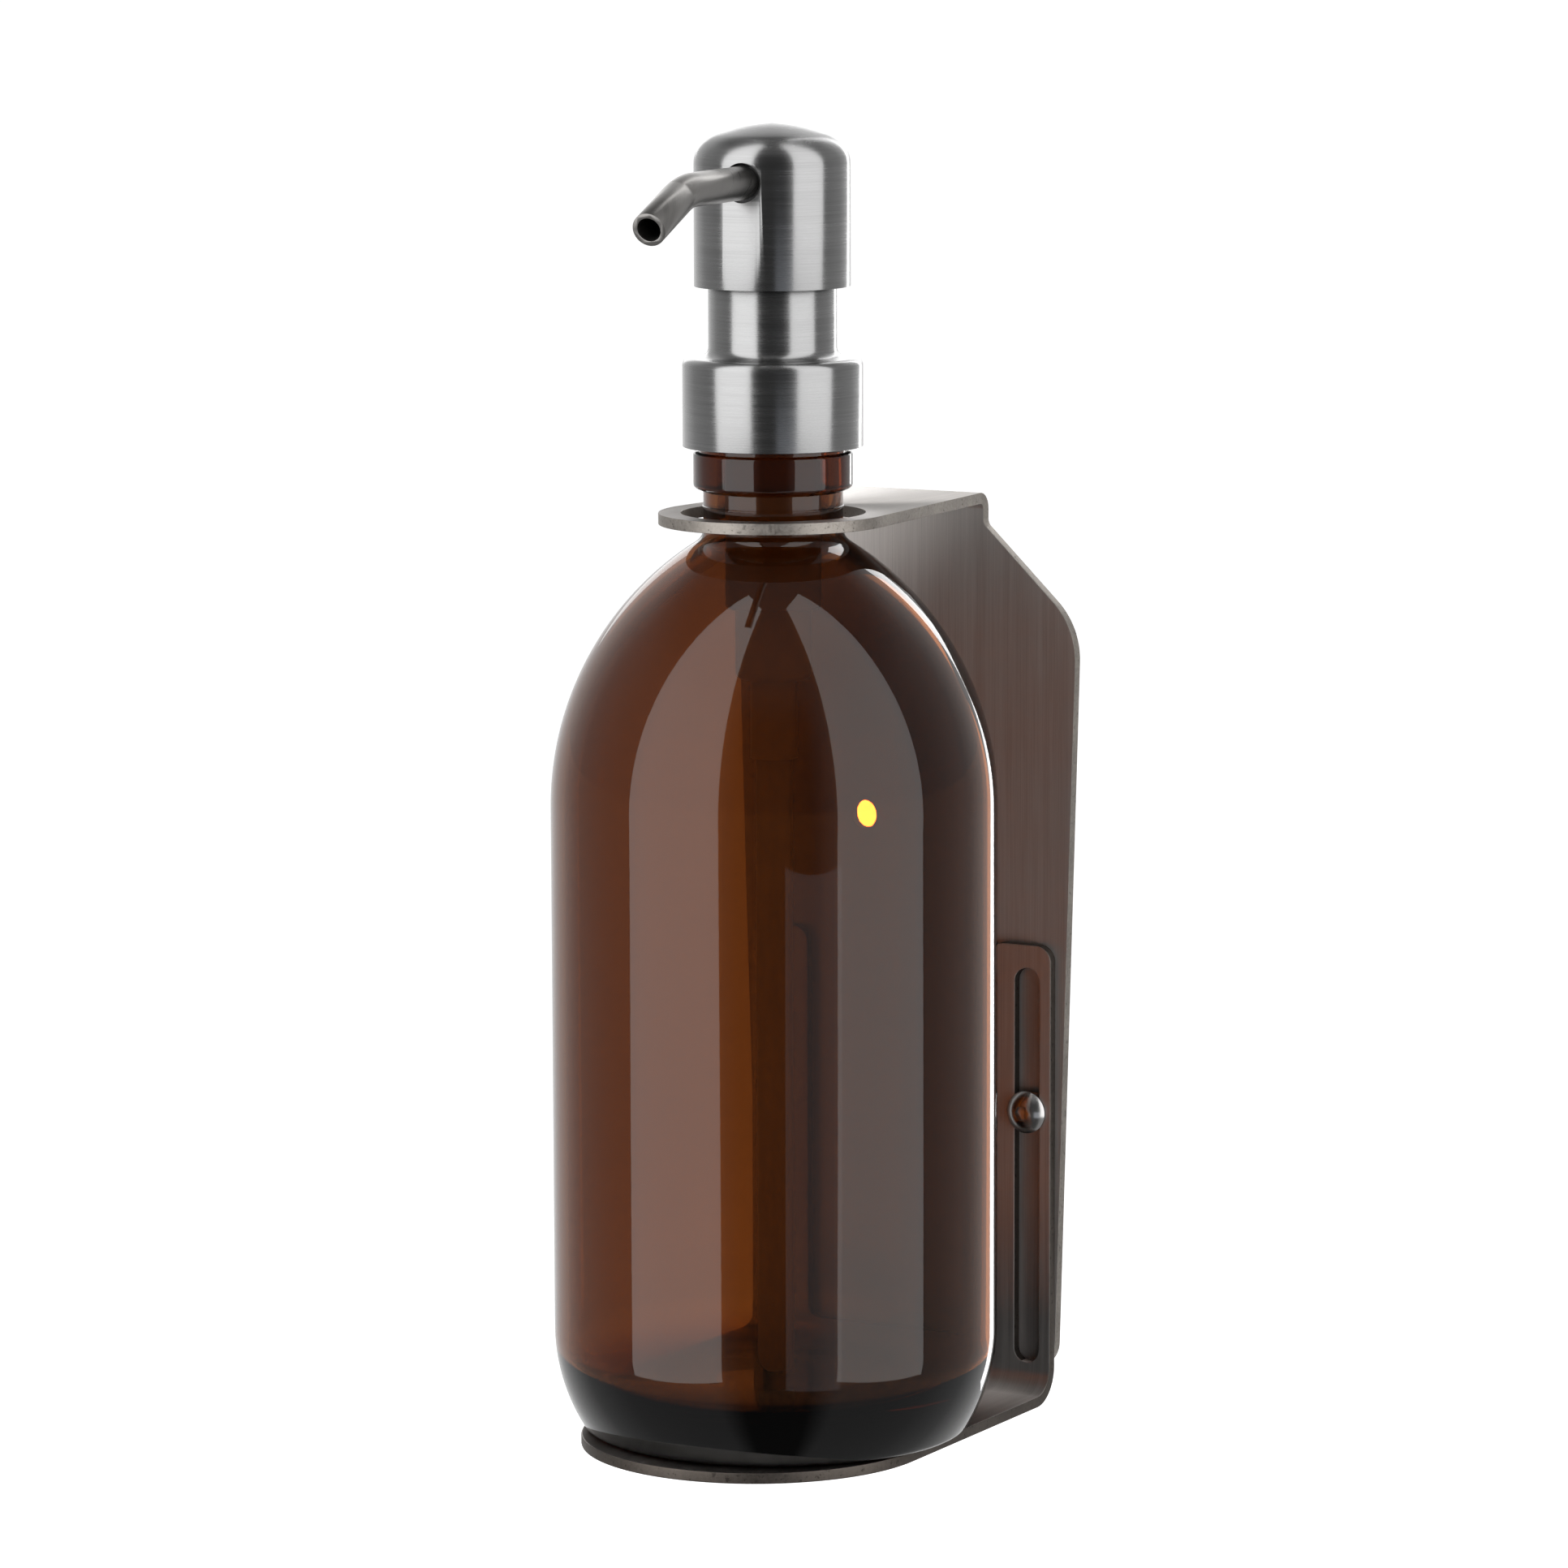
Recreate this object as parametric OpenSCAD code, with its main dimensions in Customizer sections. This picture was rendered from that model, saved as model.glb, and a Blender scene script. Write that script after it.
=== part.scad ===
// Wall-held soap pump dispenser. A glass bottle stands on a slotted sheet-metal shelf bracket, its
// neck passes through the tab of a wall plate, and a lotion pump is screwed to its finish.
// Heights are measured from the top of the shelf, and places from the bottle's axis. at_bottle()
// puts them where the origin is the wall face, level with the wall screw's hole.
// The front is -Y, and the wall is on +Y.

/* [Bottle] */
// Outside diameter of the bottle's body
bottle_d = 77.8; // [64:0.2:94]
// Height of the glass from its foot to the top of its finish
bottle_h = 182.5; // [150:0.5:220]
// Height of the rounded shoulder
shoulder_h = 47; // [38:0.5:57]
// Height of the neck, from the shoulder to the top of the finish
neck_h = 25.5; // [23:0.1:31]
// Outside diameter of the neck below its bead
neck_d = 24.2; // [20:0.1:29.2]
// Radius between the shoulder and the neck
neck_fillet_r = 3; // [1:0.1:4]
// Thickness of the glass wall
glass_wall = 2.4; // [1.9:0.1:2.9]
// Thickness of the glass base
base_t = 7.5; // [6:0.1:12]
// Height of the rounded heel
heel_h = 18; // [12:0.5:22]
// How far the heel tucks in at the foot
heel_tuck = 5.4; // [3:0.1:7]
// How far the transfer bead stands out of the neck
bead_step = 1.7; // [1:0.1:2.2]
// Height of the transfer bead
bead_h = 6.4; // [4:0.1:7.7]
// Height of the finish above the bead, which the cap screws on to
finish_h = 10.6; // [9:0.1:12.7]
// How far the screw thread stands out beyond the neck
thread_step = 1.5; // [1.2:0.1:1.8]
// Rise of the screw thread for each turn
thread_pitch = 3.2; // [2.6:0.1:3.8]

/* [Bracket] */
// Thickness of the bracket sheet
sheet_t = 2; // [1.6:0.1:2.4]
// Gap between the bottle's body and the legs behind it
leg_gap = 5.6; // [4:0.1:9]
// How far the shelf's edges stand inside the bottle's foot
shelf_inset = 2.5; // [0:0.1:6]
// How far the shelf's round front stands back from the bottle's front
front_setback = 1.4; // [0:0.1:6]
// Inside radius of the bend between the shelf and the legs
shelf_bend_r = 4.5; // [2:0.1:4.7]
// Width of each slotted leg
leg_w = 12.5; // [10.4:0.1:15]
// Height of metal above the slots
leg_top_margin = 4.3; // [3.2:0.1:6]
// Corner radius at the top of the legs
leg_corner_r = 3; // [1:0.1:4]
// Height of the cut-out between the legs above the shelf
cutout_h = 6; // [5:0.1:9]
// Width of the slots
slot_w = 4.8; // [4.4:0.1:5.8]
// Width of metal between a slot and the outer edge of its leg
slot_margin = 2.4; // [2:0.1:3]
// Height of the slots' lower end above the shelf
slot_bottom_h = 5; // [4.8:0.1:8]
// How far the wall plate's shoulders stand out beyond the legs
plate_flare = 3.8; // [0.5:0.1:6]
// Height of the wall plate's lower edge above the shelf
plate_bottom_h = 3.4; // [2.6:0.1:12]
// Drop of the wall plate's sloping shoulders
plate_shoulder_drop = 17.6; // [12:0.1:22]
// Radius of the wall plate's shoulders
plate_shoulder_r = 14; // [8:0.5:17]
// Radius of the wall plate's lower corners
plate_corner_r = 5; // [1:0.1:7]
// Width of the tab at its bend
tab_neck_w = 32.4; // [27:0.2:38]
// Width of metal round the tab's neck hole
tab_rim = 3.9; // [3:0.1:6]
// Height of the tab's top face above the bottle's shoulder
tab_lift = 4.3; // [3.8:0.1:5.2]
// Inside radius of the tab's bend
tab_bend_r = 1; // [0.5:0.1:2]
// Gap between the pump's collar and the tab's neck hole
collar_gap = 0.4; // [0.3:0.05:0.8]
// Diameter of the hole for the wall screw
wall_hole_d = 5.2; // [4.2:0.1:6.4]
// Height of the wall screw's hole above the shelf
wall_hole_h = 102; // [85:0.5:122]
// Distance of the wall screw's hole to the left of the plate's middle
wall_hole_offset = 7; // [0:0.1:10]

/* [Clamp screws] */
// Thread diameter of the clamp screws
screw_d = 4; // [3:0.1:4.2]
// Diameter of the button heads
screw_head_d = 7.6; // [7:0.1:8.8]
// Height of the button heads
screw_head_h = 2.2; // [1.8:0.1:2.7]
// Width across the flats of the hexagon sockets
socket_w = 2.5; // [2:0.1:3]
// Height of the clamp screws above the shelf
screw_h = 50.7; // [40:0.1:61]
// Outside diameter of the clinch nuts in the wall plate
nut_d = 6.6; // [5.6:0.1:7.4]

/* [Cap and collar] */
// Wall of the threaded cap
cap_wall = 1.3; // [1:0.05:1.8]
// Thickness of the threaded cap's roof
cap_roof_t = 2; // [1.6:0.1:2.4]
// Height of the collar
collar_h = 15.4; // [14.6:0.1:16.4]
// Thickness of the steel shells
shell_t = 0.5; // [0.4:0.05:0.6]
// How far the sleeve stands inside the collar
collar_step = 4.5; // [4:0.1:5]
// Radius of the collar's top edge
collar_edge_r = 1.4; // [1:0.1:1.8]
// Radius of the flare between the collar and the sleeve
flare_r = 1.8; // [1:0.1:2]

/* [Head] */
// How far the head stands out beyond the sleeve
head_overhang = 2.4; // [1.8:0.1:3.4]
// Height of the head's rounded top above the spout
head_roof_h = 6.7; // [5.8:0.1:8]
// Radius round the head's top edge
head_edge_r = 5.5; // [2:0.1:6]
// Slope of the head's crown at its edge
crown_angle = 20; // [4:1:24]
// Travel of the head
stroke = 11.6; // [9.6:0.1:14]
// Gap left under the head when it is pressed down
press_gap = 0.6; // [0.4:0.1:2]

/* [Spout] */
// Outside diameter of the spout
spout_d = 5.8; // [4.8:0.1:7]
// Wall of the spout
spout_wall = 0.8; // [0.5:0.05:1]
// Distance of the spout's tip from the pump's axis
spout_reach = 52; // [43:0.5:63]
// Angle of the spout's end below the horizontal
spout_droop = 21; // [10:1:40]
// Radius of the spout's bend
spout_bend_r = 20; // [12:0.5:26]
// Length of the spout's straight end
spout_end_l = 12; // [6:0.5:15]
// Angle of the spout to the right of straight ahead
spout_yaw = 7; // [-30:1:30]
// Gap round the spout where it leaves the head
spout_hole_gap = 0.5; // [0.3:0.05:0.9]

/* [Pump] */
// Gap between the pump housing and the bottle's bore
housing_gap = 1.4; // [0.8:0.1:2]
// Height of the pump housing's wide chamber below the finish
chamber_h = 38.2; // [34:0.1:46]
// How far the lower chamber stands inside the wide one
lower_step = 1.65; // [1:0.05:1.9]
// Height of the lower chamber
lower_h = 12.3; // [10.2:0.1:15]
// Height of the nipple that holds the dip tube
nipple_h = 13.6; // [10:0.1:17]
// Wall of the pump housing
housing_wall = 1; // [0.8:0.05:1.2]
// Outside diameter of the dip tube
dip_tube_d = 6.4; // [5.4:0.1:7]
// Wall of the dip tube
dip_tube_wall = 0.9; // [0.6:0.1:1.1]
// Gap between the dip tube and the bottle's floor
dip_gap = 2.5; // [1:0.1:8]
// Outside diameter of the stem
stem_d = 7; // [6.6:0.1:7.4]
// Diameter of the valve balls
ball_d = 3.6; // [3:0.1:3.9]
// Lift of the valve balls
ball_lift = 1.2; // [0.8:0.1:1.5]
// Diameter of the return spring's wire
spring_wire_d = 0.9; // [0.7:0.05:1.1]
// Number of the return spring's turns
spring_turns = 7; // [4:1:9]

/* [Hidden] */
$fn = 96;
arc_steps = 12;

// How far a cutting shape reaches past the faces it cuts
cut = 1;

// Clearances
slide_gap = 0.1;
thread_gap = 0.15;
run_gap = 0.05;
seat_gap = 0.02;

// Bottle
bottle_r = bottle_d / 2;
neck_r = neck_d / 2;
bead_r = neck_r + bead_step;
thread_r = neck_r + thread_step;
ridge_h = 0.9;
ridge_crest = 0.3;
finish_r = thread_r - ridge_h;
glass_bore_r = neck_r - glass_wall;
neck_base_z = bottle_h - neck_h;
finish_z = bottle_h - finish_h;
shoulder_z = neck_base_z - shoulder_h;
shoulder_step = bottle_r - neck_r;
shoulder_r = (pow(shoulder_step, 2) + pow(shoulder_h, 2)) / (2 * shoulder_step);
shoulder_x = bottle_r - shoulder_r;
fillet_x = neck_r + neck_fillet_r;
fillet_z = shoulder_z + sqrt(pow(shoulder_r + neck_fillet_r, 2) - pow(fillet_x - shoulder_x, 2));
fillet_angle = atan2(fillet_z - shoulder_z, fillet_x - shoulder_x);
heel_r = (pow(heel_tuck, 2) + pow(heel_h, 2)) / (2 * heel_tuck);
foot_corner_r = 1.8;
foot_angle = asin((heel_h - foot_corner_r) / (heel_r - foot_corner_r));
foot_x = bottle_r - heel_r + (heel_r - foot_corner_r) * cos(foot_angle);
inner_heel_r = 8;
push_up_rim = 4;
push_up_h = 1.2;

// Bracket
leg_front_y = bottle_r + leg_gap;
leg_back_y = leg_front_y + sheet_t;
plate_front_y = leg_back_y + slide_gap;
plate_back_y = plate_front_y + sheet_t;
shelf_r = bottle_r - heel_tuck - shelf_inset;
shelf_round_y = shelf_r + front_setback - bottle_r;
slot_x = shelf_r - slot_margin - slot_w / 2;
plate_foot_inset = 0.2;
plate_foot_x = shelf_r - plate_foot_inset;
plate_top_x = shelf_r + plate_flare;
collar_r = thread_r + thread_gap + cap_wall + run_gap + shell_t;
neck_hole_r = collar_r + collar_gap;
tab_r = neck_hole_r + tab_rim;
tab_top_z = neck_base_z + tab_lift;
tab_under_z = tab_top_z - sheet_t;
tab_bend_out_r = tab_bend_r + sheet_t;
tab_bend_z = tab_top_z - tab_bend_out_r;
tab_bend_y = plate_back_y - tab_bend_out_r;
tab_foot_h = 2.6;
tab_foot_r = 2;
tab_foot_z = tab_bend_z - tab_foot_h;
release_gap = 0.4;
release_drop = bottle_h - tab_under_z + release_gap;
slot_top_z = screw_h + release_drop + slot_w / 2;
leg_h = slot_top_z + leg_top_margin;

// Cap and collar
gasket_t = 1;
gasket_inset = 0.2;
gasket_bore_gap = 0.4;
flange_t = 2;
flange_z = bottle_h + gasket_t;
flange_top_z = flange_z + flange_t;
cap_bore_r = thread_r + thread_gap;
cap_r = cap_bore_r + cap_wall;
cap_foot_gap = 0.9;
cap_z = finish_z + cap_foot_gap;
cap_roof_z = flange_top_z + slide_gap;
cap_top_z = cap_roof_z + cap_roof_t;
collar_top_z = cap_top_z + run_gap + shell_t;
collar_z = collar_top_z - collar_h;
sleeve_r = collar_r - collar_step;
sleeve_in_r = sleeve_r - shell_t;

// Head
head_z = collar_top_z + stroke + press_gap;
head_r = sleeve_r + head_overhang;
head_wall = shell_t + 0.1;
sleeve_lap = 1;
sleeve_top_z = head_z + sleeve_lap;
core_gap = 0.5;
core_z = sleeve_top_z + stroke + core_gap;
core_r = head_r - head_wall - run_gap;
spout_r = spout_d / 2;
spout_bore_r = spout_r - spout_wall;
core_floor_t = 2.3;
spout_z = core_z + spout_r + core_floor_t;
head_top_z = spout_z + spout_r + head_roof_h;
crown_r = (head_r - head_edge_r) / sin(crown_angle) + head_edge_r;
crown_z = head_top_z - crown_r;
edge_x = head_r - head_edge_r;
edge_z = crown_z + (crown_r - head_edge_r) * cos(crown_angle);
core_roof_t = 0.8;
core_top_z = spout_z + spout_r + core_roof_t;
spout_root = 7;
// The bend draws the tube in by a hair, so the end is wider by this much, and laps over the bend
spout_swell = 0.02;
spout_lap = 0.3;
spout_bend_x = spout_reach - spout_end_l * cos(spout_droop) - spout_bend_r * sin(spout_droop);

// Pump housing and dip tube
housing_r = glass_bore_r - housing_gap;
chamber_r = housing_r - housing_wall;
chamber_z = bottle_h - chamber_h;
lower_r = housing_r - lower_step;
lower_in_r = lower_r - housing_wall;
lower_z = chamber_z - lower_h;
dip_tube_r = dip_tube_d / 2;
nipple_wall = 0.9;
nipple_r = dip_tube_r + nipple_wall;
nipple_z = lower_z - nipple_h;
floor_t = 1.2;
floor_z = lower_z + floor_t;
tube_stop = 0.4;
dip_top_z = lower_z - tube_stop;
dip_slant = 30;
dip_z = base_t + dip_gap;

// Valve balls, cage and spring
ball_r = ball_d / 2;
seat_r = ball_r * 0.8;
ball_rise = sqrt(pow(ball_r, 2) - pow(seat_r, 2)) + seat_gap;
ball_room = ball_rise + ball_r + ball_lift + seat_gap;
cage_gap = 0.4;
cage_bore_r = ball_r + cage_gap;
cage_wall = 0.7;
cage_z = floor_z + ball_room;
cage_t = 1.4;
spring_gap = 0.35;
spring_r = lower_in_r - spring_wire_d / 2 - spring_gap;
spring_end_lift = 1.05;
spring_z = cage_z + cage_t + run_gap;

// Guide ring, wiper, piston, plunger and stem
stem_r = stem_d / 2;
stem_bore_r = seat_r;
slide_bore_r = stem_r + run_gap;
guide_depth = 6;
guide_z = flange_top_z - guide_depth;
guide_neck_step = 0.3;
guide_neck_r = housing_r + guide_neck_step;
guide_lip_z = cap_top_z + slide_gap;
guide_lip_r = sleeve_in_r - thread_gap;
guide_lip_t = 1.2;
guide_sink = 3.4;
guide_top_z = sleeve_top_z - guide_sink;
wiper_w = 1.6;
wiper_r = stem_r + wiper_w;
wiper_h = 1.8;
wiper_holder_wall = 1.2;
piston_gap = 1.2;
piston_h = 6;
piston_top_z = guide_z - piston_gap;
piston_z = piston_top_z - piston_h;
piston_r = chamber_r - run_gap;
neck_step = 0.9;
plunger_neck_r = stem_r - neck_step;
spigot_step = 1.3;
spigot_r = stem_r - spigot_step;
spigot_h = 6;
seat_lap = 0.3;
plunger_flange_r = spring_r + spring_wire_d / 2 + seat_lap;
plunger_flange_t = 1.2;
plunger_z = piston_z - run_gap - plunger_flange_t;
spring_h = plunger_z - run_gap - spring_z;
stem_z = piston_top_z + run_gap;
stem_sink = 2.4;
stem_top_z = core_z + stem_sink;
outlet_seat_z = stem_top_z - ball_room;

// Points along an arc round [x, y], from one angle to another
function arc(x, y, r, from, to) =
    [for (i = [0 : arc_steps]) let (a = from + (to - from) * i / arc_steps) [x + r * cos(a), y + r * sin(a)]];

// Unit vector from one point towards another
function heading(from, to) = (to - from) / norm(to - from);

// Points that round the corner p, between the points before and after it, with radius r
function corner(before, p, after, r) =
    let (u = heading(p, before), v = heading(p, after), half = acos(u * v) / 2)
    let (centre = p + heading([0, 0], u + v) * r / sin(half))
    let (first = p + u * r / tan(half) - centre, last = p + v * r / tan(half) - centre)
    let (turn = sign(first[0] * last[1] - first[1] * last[0]) * (180 - 2 * half))
    [for (i = [0 : arc_steps]) let (a = atan2(first[1], first[0]) + turn * i / arc_steps)
        centre + r * [cos(a), sin(a)]];

// Outline through corners given as [x, y, radius], where radius 0 keeps a corner sharp
function outline(corners) =
    let (n = len(corners))
    [for (i = [0 : n - 1])
        let (c = corners[i], before = corners[(i + n - 1) % n], after = corners[(i + 1) % n])
        each c[2] == 0 ? [[c[0], c[1]]]
            : corner([before[0], before[1]], [c[0], c[1]], [after[0], after[1]], c[2])];

// The right half of an outline and its mirror image on the left
function both_sides(half) =
    concat(half, [for (i = [len(half) - 1 : -1 : 0]) [-half[i][0], half[i][1], half[i][2]]]);

module at_bottle() {
    translate([0, -plate_back_y, -wall_hole_h]) children();
}

// Round bar or disc from one height to another
module disc(r, low, high) {
    translate([0, 0, low]) cylinder(r = r, h = high - low);
}

module ring(r, bore, low, high) {
    difference() {
        disc(r, low, high);
        disc(bore, low - cut, high + cut);
    }
}

// Round bar along +Y between two depths
module bar_y(r, x, z, front, back) {
    translate([x, front, z]) rotate([-90, 0, 0]) cylinder(r = r, h = back - front);
}

// Sheet standing in XZ between two depths, from an outline
module upright(points, front, back) {
    translate([0, back, 0]) rotate([90, 0, 0]) linear_extrude(back - front) polygon(points);
}

// Quarter bend of sheet round an X axis at depth y and height z, on the given side of the axis
module bend(width, inner_r, y, z, up) {
    outer_r = inner_r + sheet_t;
    translate([0, y, z]) intersection() {
        rotate([0, 90, 0]) difference() {
            cylinder(r = outer_r, h = width, center = true);
            cylinder(r = inner_r, h = width + 2 * cut, center = true);
        }
        translate([-width / 2, 0, up ? 0 : -outer_r]) cube([width, outer_r, outer_r]);
    }
}

module slot_cut(x) {
    low = slot_bottom_h + slot_w / 2;
    high = slot_top_z - slot_w / 2;
    for (z = [low, high]) bar_y(slot_w / 2, x, z, leg_front_y - cut, leg_back_y + cut);
    translate([x - slot_w / 2, leg_front_y - cut, low])
        cube([slot_w, sheet_t + 2 * cut, high - low]);
}

module upper_bracket() {
    half = [[tab_neck_w / 2, tab_bend_z, 0], [tab_neck_w / 2, tab_foot_z, tab_foot_r],
        [plate_top_x, tab_foot_z - plate_shoulder_drop, plate_shoulder_r],
        [plate_foot_x, plate_bottom_h, plate_corner_r]];
    // Where the tab's straight sides touch its round front
    reach = norm([tab_neck_w / 2, tab_bend_y]);
    side_angle = atan2(tab_bend_y, tab_neck_w / 2) - acos(tab_r / reach);
    tangent = tab_r * [cos(side_angle), sin(side_angle)];
    color([0.62, 0.6, 0.57]) at_bottle() difference() {
        union() {
            upright(outline(both_sides(half)), plate_front_y, plate_back_y);
            bend(tab_neck_w, tab_bend_r, tab_bend_y, tab_bend_z, true);
            disc(tab_r, tab_under_z, tab_top_z);
            translate([0, 0, tab_under_z]) linear_extrude(sheet_t) polygon([tangent,
                [tab_neck_w / 2, tab_bend_y], [-tab_neck_w / 2, tab_bend_y], [-tangent[0], tangent[1]]]);
        }
        disc(neck_hole_r, tab_under_z - cut, tab_top_z + cut);
        bar_y(wall_hole_d / 2, -wall_hole_offset, wall_hole_h, plate_front_y - cut, plate_back_y + cut);
        for (x = [-slot_x, slot_x])
            bar_y(nut_d / 2, x, screw_h, plate_front_y - cut, plate_back_y + cut);
    }
}

module lower_bracket() {
    inner_x = shelf_r - leg_w;
    half = [[inner_x, cutout_h, leg_corner_r], [inner_x, leg_h, leg_corner_r],
        [shelf_r, leg_h, leg_corner_r], [shelf_r, shelf_bend_r, 0]];
    bend_y = leg_front_y - shelf_bend_r;
    color([0.58, 0.55, 0.52]) at_bottle() {
        difference() {
            union() {
                upright(outline(both_sides(half)), leg_front_y, leg_back_y);
                bend(2 * shelf_r, shelf_bend_r, bend_y, shelf_bend_r, false);
                translate([-shelf_r, shelf_round_y, -sheet_t])
                    cube([2 * shelf_r, bend_y - shelf_round_y, sheet_t]);
                translate([0, shelf_round_y, 0]) disc(shelf_r, -sheet_t, 0);
            }
            for (x = [-slot_x, slot_x]) slot_cut(x);
        }
    }
}

module clamp_screw() {
    rim = 0.35;
    socket_floor = 0.35;
    rise = screw_head_h - rim;
    round_r = (pow(screw_head_d / 2, 2) + pow(rise, 2)) / (2 * rise);
    half_angle = asin(screw_head_d / 2 / round_r);
    difference() {
        union() {
            rotate_extrude() polygon(concat([[0, 0], [screw_head_d / 2, 0]],
                arc(0, rim + rise - round_r, round_r, 90 - half_angle, 90)));
            disc(screw_d / 2, -2 * sheet_t - slide_gap - run_gap, rim);
        }
        translate([0, 0, screw_head_h * socket_floor])
            cylinder(d = socket_w / cos(30), h = screw_head_h, $fn = 6);
    }
}

module clamp_screws() {
    color([0.72, 0.72, 0.7]) at_bottle()
        for (x = [-slot_x, slot_x])
            translate([x, leg_front_y - run_gap, screw_h]) rotate([90, 0, 0]) clamp_screw();
}

module clamp_nuts() {
    color([0.5, 0.5, 0.5]) at_bottle() for (x = [-slot_x, slot_x]) difference() {
        bar_y(nut_d / 2, x, screw_h, plate_front_y, plate_back_y);
        bar_y(screw_d / 2 + seat_gap, x, screw_h, plate_front_y - cut, plate_back_y + cut);
    }
}

module bottle() {
    floor_r = bottle_r - glass_wall - inner_heel_r;
    ridge_z = [finish_z + thread_pitch * 0.9, finish_z + thread_pitch * 1.9];
    bead_foot_r = 0.8;
    bead_top_r = 0.6;
    rim_r = 0.6;
    mouth_r = 0.5;
    outside = concat(
        [[0, push_up_h], [foot_x - push_up_rim, push_up_h], [foot_x - push_up_rim + push_up_h, 0]],
        arc(foot_x, foot_corner_r, foot_corner_r, -90, -foot_angle),
        arc(bottle_r - heel_r, heel_h, heel_r, -foot_angle, 0),
        arc(shoulder_x, shoulder_z, shoulder_r, 0, fillet_angle),
        arc(fillet_x, fillet_z, neck_fillet_r, fillet_angle - 180, -180),
        [[neck_r, finish_z - bead_h - bead_step * 0.3]],
        arc(bead_r - bead_foot_r, finish_z - bead_h + bead_foot_r, bead_foot_r, -60, 0),
        arc(bead_r - bead_top_r, finish_z - bead_top_r, bead_top_r, 0, 90),
        [[finish_r, finish_z]],
        [for (z = ridge_z)
            each [[finish_r, z - ridge_h], [thread_r, z - ridge_crest],
                [thread_r, z + ridge_crest], [finish_r, z + ridge_h]]],
        arc(finish_r - rim_r, bottle_h - rim_r, rim_r, 0, 90));
    inside = concat(
        arc(glass_bore_r + mouth_r, bottle_h - mouth_r, mouth_r, 90, 180),
        arc(fillet_x, fillet_z, neck_fillet_r + glass_wall, -180, fillet_angle - 180),
        arc(shoulder_x, shoulder_z, shoulder_r - glass_wall, fillet_angle, 0),
        arc(floor_r, base_t + inner_heel_r, inner_heel_r, 0, -90),
        [[0, base_t]]);
    color([0.36, 0.16, 0.05, 0.5]) at_bottle() rotate_extrude() polygon(concat(outside, inside));
}

module neck_gasket() {
    color([0.85, 0.85, 0.82]) at_bottle()
        ring(finish_r - gasket_inset, housing_r + gasket_bore_gap, bottle_h, flange_z);
}

module screw_cap() {
    chamfer = 1;
    color([0.2, 0.2, 0.2]) at_bottle() rotate_extrude() polygon([
        [cap_bore_r, cap_z], [cap_r, cap_z], [cap_r, cap_top_z - chamfer], [cap_r - chamfer, cap_top_z],
        [guide_neck_r + run_gap, cap_top_z], [guide_neck_r + run_gap, cap_roof_z], [cap_bore_r, cap_roof_z]]);
}

module collar_shell() {
    edge_centre = [collar_r - collar_edge_r, collar_top_z - collar_edge_r];
    flare_centre = [sleeve_r + flare_r, collar_top_z + flare_r];
    color([0.8, 0.8, 0.79]) at_bottle() rotate_extrude() polygon(concat(
        [[collar_r, collar_z]],
        arc(edge_centre[0], edge_centre[1], collar_edge_r, 0, 90),
        arc(flare_centre[0], flare_centre[1], flare_r, 270, 180),
        [[sleeve_r, sleeve_top_z], [sleeve_in_r, sleeve_top_z]],
        arc(flare_centre[0], flare_centre[1], flare_r + shell_t, 180, 270),
        arc(edge_centre[0], edge_centre[1], collar_edge_r - shell_t, 90, 0),
        [[collar_r - shell_t, collar_z]]));
}

module pump_housing() {
    round_r = 1.5;
    step_r = 0.6;
    flange_r = finish_r + 0.5;
    color([0.9, 0.9, 0.88]) at_bottle() difference() {
        rotate_extrude() polygon(concat(
            [[0, nipple_z], [nipple_r, nipple_z], [nipple_r, lower_z]],
            arc(lower_r - round_r, lower_z + round_r, round_r, -90, 0),
            [[lower_r, chamber_z]],
            arc(housing_r - step_r, chamber_z + step_r, step_r, -90, 0),
            [[housing_r, flange_z], [flange_r, flange_z], [flange_r, flange_top_z], [0, flange_top_z]]));
        disc(chamber_r, chamber_z + housing_wall, flange_top_z + cut);
        disc(lower_in_r, floor_z, chamber_z + housing_wall + cut);
        disc(seat_r, dip_top_z - cut, floor_z + cut);
        disc(dip_tube_r, nipple_z - cut, dip_top_z);
    }
}

module guide_ring() {
    color([0.92, 0.92, 0.9]) at_bottle() difference() {
        union() {
            disc(chamber_r - run_gap, guide_z, flange_top_z);
            disc(guide_neck_r, flange_top_z, guide_lip_z);
            disc(guide_lip_r, guide_lip_z, guide_lip_z + guide_lip_t);
            disc(wiper_r + wiper_holder_wall, guide_lip_z + guide_lip_t, guide_top_z);
        }
        disc(slide_bore_r, guide_z - cut, guide_top_z + cut);
        disc(wiper_r, guide_top_z - wiper_h, guide_top_z + cut);
    }
}

module ball_cage() {
    windows = 4;
    window_w = 1.2;
    hole_r = 0.6;
    hole_x = cage_bore_r + cage_wall + 0.9;
    color([0.88, 0.88, 0.86]) at_bottle() difference() {
        union() {
            disc(lower_in_r, cage_z, cage_z + cage_t);
            disc(cage_bore_r + cage_wall, floor_z + seat_gap, cage_z);
        }
        disc(cage_bore_r, floor_z - cut, cage_z);
        disc(seat_r, cage_z - cut, cage_z + cage_t + cut);
        for (i = [0 : windows - 1]) rotate(i * 360 / windows) {
            translate([cage_bore_r - cut, -window_w / 2, floor_z - cut])
                cube([cage_wall + 2 * cut, window_w, cage_z - floor_z]);
            translate([hole_x, 0, 0]) disc(hole_r, cage_z - cut, cage_z + cage_t + cut);
        }
    }
}

module inlet_ball() {
    color([0.75, 0.75, 0.75]) at_bottle() translate([0, 0, floor_z + ball_rise]) sphere(r = ball_r);
}

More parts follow.
